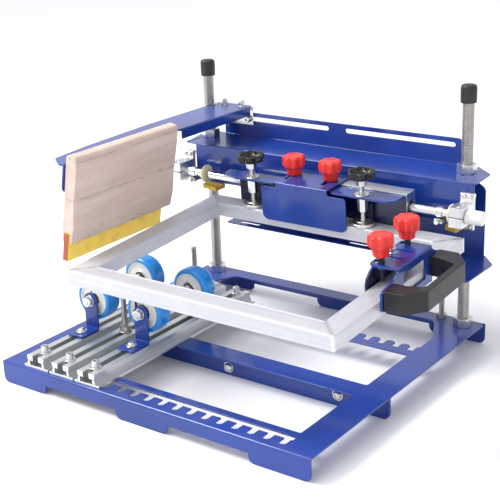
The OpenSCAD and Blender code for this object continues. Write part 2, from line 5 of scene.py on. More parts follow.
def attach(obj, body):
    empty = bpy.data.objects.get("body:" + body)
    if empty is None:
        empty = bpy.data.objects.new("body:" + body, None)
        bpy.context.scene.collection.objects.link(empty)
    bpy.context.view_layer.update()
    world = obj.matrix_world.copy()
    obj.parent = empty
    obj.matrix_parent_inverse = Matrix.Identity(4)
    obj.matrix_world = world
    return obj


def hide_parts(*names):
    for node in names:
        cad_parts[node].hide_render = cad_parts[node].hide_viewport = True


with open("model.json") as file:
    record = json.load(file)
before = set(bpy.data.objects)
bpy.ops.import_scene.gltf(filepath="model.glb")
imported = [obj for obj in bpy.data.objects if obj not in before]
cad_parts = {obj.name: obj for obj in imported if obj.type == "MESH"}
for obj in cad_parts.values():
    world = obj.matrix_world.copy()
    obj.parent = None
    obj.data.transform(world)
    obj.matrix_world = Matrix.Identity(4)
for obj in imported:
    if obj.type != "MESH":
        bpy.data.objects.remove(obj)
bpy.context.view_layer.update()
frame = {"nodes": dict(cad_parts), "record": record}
random.seed(7)

# ------------------------------------------------------------------ places
MM = 0.001
OX, OY = -32.0, -235.25
TILT = math.radians(3.6)
LEAN = math.radians(10.7)
RAILS = (-189.5, -143.5, -97.5)
POSTS = (-211.0, 225.0)
T3 = Matrix.Translation
MP = T3((OX, OY, 0.0))
MT = MP @ T3((0, 360, 217)) @ Matrix.Rotation(TILT, 4, "X")
MQ = MP @ T3((-138, 62.7, 313.8)) @ Matrix.Rotation(LEAN, 4, "Y")
AY = Matrix.Rotation(math.radians(-90), 4, "X")     # local +z -> +y
AYN = Matrix.Rotation(math.radians(90), 4, "X")     # local +z -> -y
AX = Matrix.Rotation(math.radians(90), 4, "Y")      # local +z -> +x
I4 = Matrix.Identity(4)
BODY = {n: b for b, ns in frame["record"]["behaviour"]["bodies"].items() for n in ns}
TAU = 2 * math.pi


def S(r, g, b):
    f = lambda c: (c / 255 / 12.92) if c / 255 <= 0.04045 else ((c / 255 + 0.055) / 1.055) ** 2.4
    return (f(r), f(g), f(b), 1.0)


# ------------------------------------------------------------------ materials
class Mat:
    """Small wrapper that keeps node set-ups short."""

    def __init__(self, name):
        self.m = bpy.data.materials.new(name)
        self.m.use_nodes = True
        self.t = self.m.node_tree
        self.n = self.t.nodes
        self.b = self.n["Principled BSDF"]
        self.co = self.n.new("ShaderNodeTexCoord").outputs["Object"]

    def link(self, a, b):
        self.t.links.new(a, b)

    def mapped(self, scale, loc=(0, 0, 0), rot=(0, 0, 0)):
        k = self.n.new("ShaderNodeMapping")
        k.inputs["Scale"].default_value = scale
        k.inputs["Location"].default_value = loc
        k.inputs["Rotation"].default_value = rot
        self.link(self.co, k.inputs["Vector"])
        return k.outputs[0]

    def noise(self, scale, detail=4.0, rough=0.5, vec=None, dist=0.0):
        k = self.n.new("ShaderNodeTexNoise")
        k.inputs["Scale"].default_value = scale
        k.inputs["Detail"].default_value = detail
        k.inputs["Roughness"].default_value = rough
        k.inputs["Distortion"].default_value = dist
        self.link(vec if vec is not None else self.co, k.inputs["Vector"])
        return k.outputs["Fac"]

    def ramp(self, fac, stops):
        k = self.n.new("ShaderNodeValToRGB")
        e = k.color_ramp.elements
        while len(e) < len(stops):
            e.new(0.5)
        for i, (p, c) in enumerate(stops):
            e[i].position = p
            e[i].color = c if len(c) == 4 else (*c, 1)
        self.link(fac, k.inputs[0])
        return k.outputs[0]

    def mix(self, fac, a, b, mode="MIX"):
        k = self.n.new("ShaderNodeMix")
        k.data_type = "RGBA"
        k.blend_type = mode
        for key, v in (("Factor", fac), ("A", a), ("B", b)):
            i = [s for s in k.inputs if s.name == key and s.enabled][0]
            if hasattr(v, "is_output"):
                self.link(v, i)
            elif key == "Factor":
                i.default_value = v
            else:
                i.default_value = v
        return [s for s in k.outputs if s.enabled][0]

    def rng(self, fac, lo, hi, a=0.0, b=1.0):
        k = self.n.new("ShaderNodeMapRange")
        k.inputs["From Min"].default_value = a
        k.inputs["From Max"].default_value = b
        k.inputs["To Min"].default_value = lo
        k.inputs["To Max"].default_value = hi
        self.link(fac, k.inputs["Value"])
        return k.outputs[0]

    def math(self, op, a, b=0.0):
        k = self.n.new("ShaderNodeMath")
        k.operation = op
        for i, v in enumerate((a, b)):
            if hasattr(v, "is_output"):
                self.link(v, k.inputs[i])
            else:
                k.inputs[i].default_value = v
        return k.outputs[0]

    def bump(self, height, strength, dist=0.0005, normal=None):
        k = self.n.new("ShaderNodeBump")
        k.inputs["Strength"].default_value = strength
        k.inputs["Distance"].default_value = dist
        self.link(height, k.inputs["Height"])
        if normal is not None:
            self.link(normal, k.inputs["Normal"])
        return k.outputs[0]

    def set(self, **kw):
        for k, v in kw.items():
            key = k.replace("_", " ")
            key = {"Specular": "Specular IOR Level", "Coat": "Coat Weight", "SSS": "Subsurface Weight"}.get(key, key)
            if hasattr(v, "is_output"):
                self.link(v, self.b.inputs[key])
            else:
                self.b.inputs[key].default_value = v
        return self.m


def paint(name, base, tint=0.06):
    m = Mat(name)
    big = m.noise(11, 3)
    fine = m.noise(900, 2)
    peel = m.noise(240, 3, 0.5)
    dust = m.noise(340, 6, 0.75)
    lo = tuple(c * 0.86 for c in base[:3]) + (1,)
    hi = tuple(min(1, c * 1.14) for c in base[:3]) + (1,)
    col = m.mix(m.rng(big, 0, 1, 0.35, 0.65), lo, hi)
    col = m.mix(m.rng(dust, 0, tint, 0.62, 0.80), col, S(120, 140, 205))
    h = m.math("ADD", m.math("MULTIPLY", fine, 0.5), peel)
    return m.set(Base_Color=col, Roughness=m.rng(dust, 0.26, 0.34, 0.3, 0.8), Normal=m.bump(h, 0.030, 0.0003),
                 Coat=0.75, Coat_Roughness=m.rng(peel, 0.09, 0.14, 0.3, 0.7), Specular=0.22)


def brushed(name, base, axis, rough=(0.28, 0.42), metallic=1.0, depth=0.12, grain=900.0):
    m = Mat(name)
    sc = [grain, grain, grain]
    sc["xyz".index(axis)] = 6.0
    lines = m.noise(1.0, 3, 0.6, m.mapped(tuple(sc)))
    wide = m.noise(1.0, 2, 0.5, m.mapped(tuple(s * 0.12 if s > 6 else 2.5 for s in sc)))
    cloud = m.noise(22, 4)
    lo = tuple(c * 0.86 for c in base[:3]) + (1,)
    col = m.mix(m.rng(lines, 0, 1, 0.3, 0.7), lo, base)
    col = m.mix(m.rng(wide, 0, 0.35, 0.45, 0.75), col, tuple(c * 0.8 for c in base[:3]) + (1,))
    rgh = m.math("ADD", m.rng(lines, rough[0], rough[1], 0.25, 0.75), m.rng(cloud, -0.04, 0.04, 0.3, 0.7))
    return m.set(Base_Color=col, Metallic=metallic, Roughness=rgh, Normal=m.bump(lines, depth, 0.0002))


def metal(name, base, rough=(0.12, 0.26), speck=0.0, bumpy=0.03):
    m = Mat(name)
    cloud = m.noise(90, 5, 0.6)
    fine = m.noise(2600, 2)
    lo = tuple(c * 0.82 for c in base[:3]) + (1,)
    col = m.mix(m.rng(cloud, 0, 1, 0.3, 0.7), lo, base)
    if speck:
        spots = m.noise(700, 3, 0.6)
        col = m.mix(m.rng(spots, 0, speck, 0.62, 0.72), col, S(90, 84, 76))
    return m.set(Base_Color=col, Metallic=1.0, Roughness=m.rng(cloud, rough[0], rough[1], 0.3, 0.7), Normal=m.bump(fine, bumpy, 0.0001))


def plastic(name, base, rough=(0.35, 0.5), grain=1800.0, depth=0.15, sss=0.0, spec=0.5, dusty=0.05, coat=0.0):
    m = Mat(name)
    g = m.noise(grain, 3, 0.6)
    cloud = m.noise(60, 4)
    lo = tuple(c * 0.9 for c in base[:3]) + (1,)
    col = m.mix(m.rng(cloud, 0, 1, 0.35, 0.65), lo, base)
    d = m.noise(480, 5, 0.7)
    col = m.mix(m.rng(d, 0, dusty, 0.6, 0.8), col, S(215, 213, 210))
    kw = dict(Base_Color=col, Roughness=m.rng(cloud, rough[0], rough[1], 0.3, 0.7), Normal=m.bump(g, depth, 0.0002), Specular=spec)
    if coat:
        kw["Coat"] = coat
    if sss:
        kw["SSS"] = sss
        m.b.inputs["Subsurface Radius"].default_value = (1.0, 0.55, 0.25) if sss < 0.2 else (1.0, 0.8, 0.3)
        m.b.inputs["Subsurface Scale"].default_value = 0.004 if sss < 0.2 else 0.012
    return m.set(**kw)


def wood(name):
    """Weathered pale board. Its length runs along Y; zl is the height on the leaning board, 0 at its top edge."""
    m = Mat(name)
    sep = m.n.new("ShaderNodeSeparateXYZ")
    m.link(m.co, sep.inputs[0])
    X, Y, Z = sep.outputs
    dx = m.math("ADD", X, -(-138.0 + OX) * MM)
    dz = m.math("ADD", Z, -313.8 * MM)
    zl = m.math("ADD", m.math("MULTIPLY", dx, math.sin(LEAN)), m.math("MULTIPLY", dz, math.cos(LEAN)))
    warp = m.noise(1.0, 5, 0.6, m.mapped((20, 5.0, 34), rot=(0.05, -0.19, 0.0)), 0.8)
    fibre = m.noise(1.0, 4, 0.65, m.mapped((900, 16, 900), rot=(0.0, -0.19, 0)))
    pores = m.noise(1.0, 3, 0.6, m.mapped((800, 70, 800), rot=(0.0, -0.19, 0)))
    cross = m.noise(1.0, 3, 0.6, m.mapped((60, 420, 30)))
    blot = m.noise(19, 5, 0.6)
    col = m.mix(m.rng(warp, 0, 1, 0.32, 0.68), S(204, 182, 170), S(226, 208, 197))
    col = m.mix(m.rng(fibre, 0.0, 0.26, 0.44, 0.80), col, S(180, 152, 138))
    col = m.mix(m.rng(cross, 0.0, 0.16, 0.50, 0.80), col, S(186, 160, 150))
    col = m.mix(m.rng(blot, 0.0, 0.30, 0.5, 0.75), col, S(236, 222, 212))
    col = m.mix(m.rng(m.noise(9, 3), 0.0, 0.28, 0.52, 0.72), col, S(214, 178, 164))

    def line(at, width, wob, strength, col, seed):
        wv = m.noise(1.0, 4, 0.6, m.mapped((3, 26, 3), (seed, seed, seed)))
        gap = m.noise(1.0, 3, 0.6, m.mapped((8, 70, 8), (seed * 2, 1, seed)))
        d = m.math("ABSOLUTE", m.math("ADD", m.math("ADD", zl, -at), m.rng(wv, -wob, wob, 0.3, 0.7)))
        k = m.math("MULTIPLY", m.rng(d, 1.0, 0.0, 0.0, width), m.rng(gap, 0.15, 1.0, 0.38, 0.62))
        return m.mix(m.math("MULTIPLY", k, strength), col, S(120, 94, 84))
    col = line(-0.0600, 0.0011, 0.0016, 0.75, col, 1.7)
    col = line(-0.0625, 0.0030, 0.0020, 0.28, col, 2.9)
    col = line(-0.0078, 0.0008, 0.0008, 0.80, col, 4.1)
    col = line(-0.1080, 0.0009, 0.0030, 0.35, col, 5.3)
    spots = m.noise(210, 2, 0.4)
    edge = m.math("MAXIMUM", m.rng(zl, 0.0, 1.0, -0.095, -0.118), m.rng(zl, 0.0, 1.0, -0.012, -0.004))
    col = m.mix(m.math("MULTIPLY", m.rng(spots, 0.0, 0.8, 0.66, 0.74), m.math("ADD", m.math("MULTIPLY", edge, 0.8), 0.12)), col, S(112, 84, 74))
    col = m.mix(m.math("MULTIPLY", m.rng(pores, 0.0, 0.6, 0.66, 0.78), 0.55), col, S(134, 104, 92))
    h = m.math("ADD", fibre, m.math("MULTIPLY", pores, 0.6))
    return m.set(Base_Color=col, Roughness=m.rng(fibre, 0.50, 0.70, 0.3, 0.7), Normal=m.bump(h, 0.35, 0.0004), Specular=0.3)


BLUE = paint("paint_blue", (0.010, 0.042, 0.275, 1))
# Near-black copy of the blue paint: painted shade for faces the lamps leave dark (channel inner wall, jaw side plate).
BLUE_PAINTED_SHADE = paint("paint_blue_painted_shade", (0.004, 0.010, 0.060, 1), 0.03)
ALU_X = brushed("aluminium_x", (0.90, 0.905, 0.91, 1), "x")
ALU_Y = brushed("aluminium_y", (0.90, 0.905, 0.91, 1), "y")


def bar(name, axis):
    """Extruded frame bar: die lines along its length, light satin skin, a few scratches."""
    m = Mat(name)
    sc = [1300.0, 1300.0, 1300.0]; sc["xyz".index(axis)] = 5.0
    fine = m.noise(1.0, 3, 0.6, m.mapped(tuple(sc)))
    sc = [330.0, 330.0, 330.0]; sc["xyz".index(axis)] = 1.4
    wide = m.noise(1.0, 2, 0.5, m.mapped(tuple(sc)))
    sc = [900.0, 900.0, 900.0]; sc["xyz".index(axis)] = 42.0
    scr = m.noise(1.0, 2, 0.5, m.mapped(tuple(sc), (0.3, 0.1, 0.2), (0.0, 0.0, 0.02)))
    cloud = m.noise(26, 4, 0.6)
    col = m.mix(m.rng(fine, 0, 1, 0.3, 0.7), S(196, 197, 204), S(218, 218, 224))
    col = m.mix(m.rng(wide, 0, 0.30, 0.50, 0.68), col, S(184, 186, 194))
    col = m.mix(m.rng(cloud, 0, 0.25, 0.5, 0.75), col, S(244, 243, 246))
    col = m.mix(m.rng(scr, 0, 0.30, 0.70, 0.76), col, S(150, 152, 160))
    h = m.math("ADD", m.math("MULTIPLY", fine, 0.5), wide)
    return m.set(Base_Color=col, Metallic=m.rng(wide, 0.45, 0.52, 0.3, 0.7), Roughness=m.rng(fine, 0.38, 0.50, 0.3, 0.7), Normal=m.bump(h, 0.12, 0.0003), Specular=0.5)


BAR_X = bar("frame_bar_x", "x")
BAR_Y = bar("frame_bar_y", "y")
WELD = metal("weld_bead", (0.62, 0.62, 0.64, 1), (0.34, 0.52), 0.3, 0.5)
GROUND = metal("ground_seam", (0.84, 0.84, 0.86, 1), (0.30, 0.46), 0.12, 0.25)
RAIL = brushed("rail_aluminium", (0.78, 0.80, 0.80, 1), "y", (0.30, 0.46), 1.0, 0.18)
CAST = brushed("machined_aluminium", (0.86, 0.865, 0.87, 1), "x", (0.30, 0.44), 1.0, 0.10, 500)
ZINC = metal("bright_zinc", (0.80, 0.80, 0.79, 1), (0.16, 0.30), 0.25, 0.05)
STAIN = metal("stainless", (0.66, 0.65, 0.63, 1), (0.16, 0.28), 0.15, 0.03)
STUD = metal("stud_steel", (0.58, 0.56, 0.535, 1), (0.30, 0.40), 0.05, 0.02)
SHAFT = metal("ground_shaft", (0.78, 0.78, 0.79, 1), (0.06, 0.14), 0.0, 0.02)
NICKEL = metal("satin_nickel", (0.80, 0.79, 0.76, 1), (0.26, 0.40), 0.15, 0.08)
BLACK = plastic("black_plastic", (0.016, 0.016, 0.018, 1), (0.34, 0.46), 1400, 0.22, 0, 0.5, 0.03)
GRIP = plastic("black_grip", (0.009, 0.009, 0.011, 1), (0.26, 0.36), 1500, 0.14, 0, 0.45, 0.03)
BLACKG = plastic("black_knob", (0.010, 0.010, 0.011, 1), (0.22, 0.34), 1600, 0.10, 0, 0.5, 0.03)
RED = plastic("red_plastic", (0.84, 0.032, 0.024, 1), (0.30, 0.42), 1200, 0.10, 0.05, 0.5, 0.02)
HUBW = plastic("hub_white", (0.78, 0.77, 0.72, 1), (0.35, 0.5), 900, 0.08, 0.05, 0.5, 0.05)
SLEEVE = plastic("white_plastic", (0.86, 0.86, 0.84, 1), (0.25, 0.36), 900, 0.05, 0.08, 0.5, 0.03)
TYRE = plastic("blue_tyre", (0.014, 0.26, 0.74, 1), (0.20, 0.32), 700, 0.08, 0.04, 0.5, 0.04, 0.35)
RINGM = plastic("pale_rubber", (0.76, 0.74, 0.42, 1), (0.4, 0.55), 900, 0.12, 0.1, 0.4, 0.05)
PADM = plastic("amber_rubber", (0.66, 0.42, 0.035, 1), (0.4, 0.55), 900, 0.12, 0.1, 0.4, 0.05)
BLADE = plastic("blade_yellow", (1.0, 0.76, 0.14, 1), (0.24, 0.36), 420, 0.05, 0.75, 0.5, 0.01)
BLADE_END = plastic("blade_cut_end", (0.46, 0.115, 0.045, 1), (0.45, 0.6), 600, 0.3, 0.02, 0.4, 0.04)
SEAL = plastic("bearing_seal", (0.035, 0.036, 0.04, 1), (0.45, 0.6), 900, 0.1)
WOOD = wood("board_wood")


# ------------------------------------------------------------------ mesh building (millimetres)
class MB:
    def __init__(self):
        self.v, self.f, self.fm = [], [], []

    def add(self, pts, M=I4):
        i0 = len(self.v)
        self.v += [M @ Vector(p) for p in pts]
        return list(range(i0, len(self.v)))

    def face(self, idx, mat=0):
        self.f.append(list(idx)); self.fm.append(mat)

    def bridge(self, a, b, mat=0):
        n = len(a)
        for i in range(n):
            j = (i + 1) % n
            self.face((a[i], a[j], b[j], b[i]), mat)

    def rev(self, rings, n=40, M=I4, mat=0, mats=None, closed=False):
        """Revolved form. rings: (r, z), each a number or a function of the angle. r = 0 makes a pole.
        closed joins the last ring to the first, for bored forms."""
        loops = []
        for r, z in rings:
            if not callable(r) and r == 0:
                loops.append(self.add([(0, 0, z(0) if callable(z) else z)], M)); continue
            pts = []
            for i in range(n):
                a = TAU * i / n
                rr = r(a) if callable(r) else r
                zz = z(a) if callable(z) else z
                pts.append((rr * math.cos(a), rr * math.sin(a), zz))
            loops.append(self.add(pts, M))
        seq = list(zip(loops, loops[1:])) + ([(loops[-1], loops[0])] if closed else [])
        for k, (a, b) in enumerate(seq):
            mt = mats[k] if mats else mat
            if len(a) == 1 and len(b) == 1:
                continue
            if len(a) == 1:
                for i in range(n):
                    self.face((a[0], b[(i + 1) % n], b[i]), mt)
            elif len(b) == 1:
                for i in range(n):
                    self.face((a[i], a[(i + 1) % n], b[0]), mt)
            else:
                self.bridge(a, b, mt)

    def thread(self, r, pitch, z0, z1, depth=None, n=20, M=I4, mat=0):
        depth = depth or pitch * 0.5
        rad = (r, r, r - depth, r - depth)
        rows = int(math.ceil((z1 - z0) / pitch + 2.2)) * 4
        grid = []
        for i in range(n):
            a = TAU * i / n
            col = []
            for j in range(rows + 1):
                z = z0 + (j / 4 + i / n - 1) * pitch
                rr = rad[j % 4]
                if z <= z0 or z >= z1:
                    rr = r - depth; z = min(max(z, z0), z1)
                elif z - z0 < depth:
                    rr = min(rr, r - depth + (z - z0))
                elif z1 - z < depth:
                    rr = min(rr, r - depth + (z1 - z))
                col.append(self.add([(rr * math.cos(a), rr * math.sin(a), z)], M)[0])
            grid.append(col)
        for i in range(n):
            for j in range(rows):
                if i < n - 1:
                    q = (grid[i][j], grid[i + 1][j], grid[i + 1][j + 1], grid[i][j + 1])
                else:
                    q = (grid[i][j], grid[0][min(j + 4, rows)], grid[0][min(j + 5, rows)], grid[i][j + 1])
                self.face(q, mat)

    def prism(self, outline, z0, z1, M=I4, mat=0):
        a = self.add([(x, y, z0) for x, y in outline], M)
        b = self.add([(x, y, z1) for x, y in outline], M)
        self.face(a[::-1], mat); self.face(b, mat); self.bridge(a, b, mat)

    def box(self, x0, x1, y0, y1, z0, z1, M=I4, mat=0):
        self.prism([(x0, y0), (x1, y0), (x1, y1), (x0, y1)], z0, z1, M, mat)


def hexr(af, rot=0.0):
    return lambda a: af / 2 / math.cos(((a + rot + math.pi / 6) % (math.pi / 3)) - math.pi / 6)


def hex_nut(mb, af, ri, z0, z1, M=I4, mat=0, n=48):
    rc = af / 2 * 0.97
    H = hexr(af)
    ch = lambda a: max(0.0, (H(a) - rc) * 0.5)
    mb.rev([(ri, z0 + 0.5), (ri + 0.6, z0), (rc, z0), (H, lambda a: z0 + ch(a)), (H, lambda a: z1 - ch(a)), (rc, z1), (ri + 0.6, z1), (ri, z1 - 0.5)], n, M, mat, closed=True)


def hex_head(mb, af, z0, z1, M=I4, mat=0, n=48, dish=True):
    rc = af / 2 * 0.96
    H = hexr(af)
    ch = lambda a: max(0.0, (H(a) - rc) * 0.5)
    top = [(rc, z1)] + ([(rc * 0.8, z1), (rc * 0.72, z1 - 0.35), (0, z1 - 0.4)] if dish else [(0, z1)])
    mb.rev([(0, z0), (rc, z0), (H, lambda a: z0 + 0.2), (H, lambda a: z1 - ch(a))] + top, n, M, mat)


def washer(mb, ro, ri, z0, z1, M=I4, mat=0, n=40):
    b = min(0.35, (z1 - z0) * 0.35)
    mb.rev([(ri, z0 + b * .5), (ri + b, z0), (ro - b, z0), (ro, z0 + b), (ro, z1 - b), (ro - b, z1), (ri + b, z1), (ri, z1 - b * .5)], n, M, mat, closed=True)


def socket_head(mb, r, z0, h, af, zshank, rs, M=I4, mat=0, n=48, button=False, knurl=True):
    """Cap screw: head from z0 to z0+h, shank down to zshank."""
    H = hexr(af)
    k = (lambda a: r - (0.18 if (int(a / TAU * 48) % 2) else 0.0)) if knurl and not button else (lambda a: r)
    side = ([(k, z0 + 0.3), (k, z0 + h - 0.7), (r - 0.7, z0 + h)] if not button else
            [(r, z0 + 0.5), (r * 0.93, z0 + h * 0.45), (r * 0.75, z0 + h * 0.8), (max(af * 0.62, r * 0.55), z0 + h)])
    rings = [(0, zshank), (rs - 0.5, zshank), (rs, zshank + 0.6), (rs, z0), (r - 0.3, z0)] + side + \
            [(lambda a: H(a) + 0.35, z0 + h), (H, z0 + h - 0.35), (H, z0 + h * 0.42), (0, z0 + h * 0.3)]
    mb.rev(rings, n, M, mat)


def make(name, mb, mats, node, smooth=34.0, bevel=0.0, seg=2, matrix=I4):
    me = bpy.data.meshes.new(name)
    me.from_pydata([tuple((matrix @ v) * MM) for v in mb.v], [], mb.f)
    for m in mats:
        me.materials.append(m)
    for p, k in zip(me.polygons, mb.fm):
        p.material_index = k
    bm = bmesh.new(); bm.from_mesh(me)
    bmesh.ops.remove_doubles(bm, verts=bm.verts, dist=2e-6)
    bmesh.ops.dissolve_degenerate(bm, edges=bm.edges, dist=1e-7)
    holes = [e for e in bm.edges if e.is_boundary]
    if holes:
        bmesh.ops.holes_fill(bm, edges=holes, sides=0)
    loose = [v for v in bm.verts if not v.link_faces]
    if loose:
        bmesh.ops.delete(bm, geom=loose, context="VERTS")
    bmesh.ops.recalc_face_normals(bm, faces=bm.faces)
    bm.to_mesh(me); bm.free()
    return dress(name, me, node, smooth, bevel, seg)


def dress(name, me, node, smooth=34.0, bevel=0.0, seg=2):
    o = bpy.data.objects.new(name, me)
    bpy.context.scene.collection.objects.link(o)
    if bevel:
        b = o.modifiers.new("edge", "BEVEL")
        b.width = bevel * MM; b.segments = seg; b.limit_method = "ANGLE"
        b.angle_limit = math.radians(32); b.use_clamp_overlap = True; b.harden_normals = False
        bake_mods(o)
    me = o.data
    for p in me.polygons:
        p.use_smooth = True
    me.set_sharp_from_angle(angle=math.radians(smooth))
    even(o)
    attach(o, BODY[node])
    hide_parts(node)
    return o


def even(o):
    """Corner normals weighted by face area, so that flat faces stay flat next to their small edge rounds."""
    w = o.modifiers.new("even", "WEIGHTED_NORMAL")
    w.mode = "FACE_AREA"; w.weight = 50; w.keep_sharp = True
    bake_mods(o)
    me = o.data
    nn = [c.vector.copy() for c in me.corner_normals]
    for p in me.polygons:
        if p.area > 40e-6:
            for li in p.loop_indices:
                nn[li] = p.normal.copy()
    me.normals_split_custom_set(nn)


def bake_mods(o):
    bpy.context.view_layer.update()
    dg = bpy.context.evaluated_depsgraph_get()
    new = bpy.data.meshes.new_from_object(o.evaluated_get(dg))
    o.modifiers.clear()
    old = o.data
    o.data = new
    if old.users == 0:
        bpy.data.meshes.remove(old)


def untangle(o):
    """Where the outline of a visible face runs over itself at a corner, its corner points move to the crossing."""
    def hit(a, b, c, d):
        r, t = (b[0] - a[0], b[1] - a[1]), (d[0] - c[0], d[1] - c[1])
        den = r[0] * t[1] - r[1] * t[0]
        if abs(den) < 1e-12:
            return None
        u = ((c[0] - a[0]) * t[1] - (c[1] - a[1]) * t[0]) / den
        v = ((c[0] - a[0]) * r[1] - (c[1] - a[1]) * r[0]) / den
        return u if 1e-6 < u < 1 - 1e-6 and 1e-6 < v < 1 - 1e-6 else None
    bm = bmesh.new(); bm.from_mesh(o.data)
    for _ in range(6):
        moved = 0
        for f in bm.faces:
            if len(f.verts) < 5 or f.calc_area() < 100e-6:
                continue
            ax = max(range(3), key=lambda i: abs(f.normal[i]))
            ii = [i for i in range(3) if i != ax]
            vs = list(f.verts); m = len(vs)
            for i in range(m):
                for j in range(i + 2, m):
                    if i == 0 and j == m - 1:
                        continue
                    quad = (vs[i], vs[(i + 1) % m], vs[j], vs[(j + 1) % m])
                    u = hit(*[(v.co[ii[0]], v.co[ii[1]]) for v in quad])
                    if u is None:
                        continue
                    x = quad[0].co.lerp(quad[1].co, u)
                    near = [v for v in quad if (v.co - x).length < 2.6 * MM]
                    if not near:
                        continue
                    for v in near:
                        v.co = x
                    moved += 1
        if not moved:
            break
        bmesh.ops.remove_doubles(bm, verts=bm.verts, dist=1e-6)
    bm.to_mesh(o.data); bm.free()


def soft(node, mat, w=0.35, seg=2, folds=(), fold_w=2.2, fold_seg=4, smooth=34.0, name=None, pick=None, angle=32.0, clamp=False):
    """A copy of a CAD solid with rounded edges. folds: boxes (machine mm) whose sharp long edges get the bend radius."""
    src = frame["nodes"][node]
    bm = bmesh.new(); bm.from_mesh(src.data)
    bmesh.ops.remove_doubles(bm, verts=bm.verts, dist=2e-6)
    bmesh.ops.dissolve_limit(bm, angle_limit=math.radians(0.6), verts=bm.verts, edges=bm.edges)
    lay = bm.edges.layers.float.get("bevel_weight_edge") or bm.edges.layers.float.new("bevel_weight_edge")
    fw = w / fold_w
    for e in bm.edges:
        if len(e.link_faces) != 2:
            continue
        if e.calc_face_angle(0) < math.radians(angle):
            continue
        e[lay] = fw if folds or pick else 1.0
        if folds:
            a, b = [v.co / MM - Vector((OX, OY, 0)) for v in e.verts]
            for (x0, x1, y0, y1, z0, z1) in folds:
                if all(x0 <= p.x <= x1 and y0 <= p.y <= y1 and z0 <= p.z <= z1 for p in (a, b)) and e.calc_face_angle_signed(0) > 0:
                    e[lay] = 1.0
        if pick and pick(e):
            e[lay] = 1.0
    me = bpy.data.meshes.new(name or "v_" + node)
    bm.to_mesh(me); bm.free()
    me.materials.clear()
    for m in (mat if isinstance(mat, (list, tuple)) else [mat]):
        me.materials.append(m)
    o = bpy.data.objects.new(name or "v_" + node, me)
    bpy.context.scene.collection.objects.link(o)
    b = o.modifiers.new("edge", "BEVEL")
    b.limit_method = "WEIGHT"
    b.width = (fold_w if folds or pick else w) * MM
    b.segments = fold_seg if folds or pick else seg
    b.use_clamp_overlap = clamp
    b.harden_normals = False
    bake_mods(o)
    untangle(o)
    for p in o.data.polygons:
        p.use_smooth = True
    o.data.set_sharp_from_angle(angle=math.radians(smooth))
    even(o)
    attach(o, BODY[node]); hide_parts(node)
    return o


# ------------------------------------------------------------------ base
E = 0.4
SEAM = 179.55
soft("base_front_frame", BLUE, 0.45, folds=[(-260, 260, -E, E, 31 - E, 31 + E), (-260, 260, SEAM - 0.6, SEAM + 0.6, 31 - E, 31 + E)], fold_w=2.6)
soft("base_rear_frame", BLUE, 0.45, folds=[(-260, 260, 451.5 - E, 451.5 + E, 31 - E, 31 + E), (-260, 260, SEAM - 0.6, SEAM + 0.6, 31 - E, 31 + E)], fold_w=2.6)
soft("rail_left", RAIL, 0.35)
soft("rail_middle", RAIL, 0.35)
soft("rail_right", RAIL, 0.35)

mb = MB()
for x, z in ((-175, 16), (1, 12), (175, 16)):
    F = MP @ T3((x, 177.5, z)) @ AYN
    washer(mb, 8, 4.1, 0, 1.4, F)
    socket_head(mb, 6.6, 1.4, 4.4, 5, -14, 4, F, button=True)
    Bk = MP @ T3((x, 181.7, z)) @ AY
    washer(mb, 8, 4.1, 0, 1.4, Bk)
    hex_nut(mb, 13, 3.9, 1.4, 6.4, Bk)
    mb.thread(4, 1.25, 5.5, 8.0, 0.55, 18, Bk)
for x in RAILS:
    for y in (23, 329):
        A = MP @ T3((x, y, 0))
        washer(mb, 8, 3.1, 49, 50.6, A)
        socket_head(mb, 5, 50.6, 8, 4.6, 30, 2.9, A)
        washer(mb, 9, 3.1, 27.4, 29, A)
        hex_nut(mb, 10, 2.9, 22.4, 27.4, A)
        mb.thread(3, 1.0, 20, 30.5, 0.45, 16, A)
make("v_base_fasteners", mb, [ZINC], "base_fasteners")


def rail_stud(node, y):
    mb = MB(); A = MP @ T3((RAILS[1], y, 0))
    mb.thread(4, 1.25, 38, 125, 0.6, 22, A)
    mb.box(-10, 10, -7, 7, 35.4, 41.2, A)
    washer(mb, 9, 4.1, 49.3, 50.9, A)
    hex_nut(mb, 13, 3.7, 50.9, 57.4, A)
    make("v_" + node, mb, [STUD], node)


rail_stud("rail_stud_front", 133)
rail_stud("rail_stud_rear", 291)


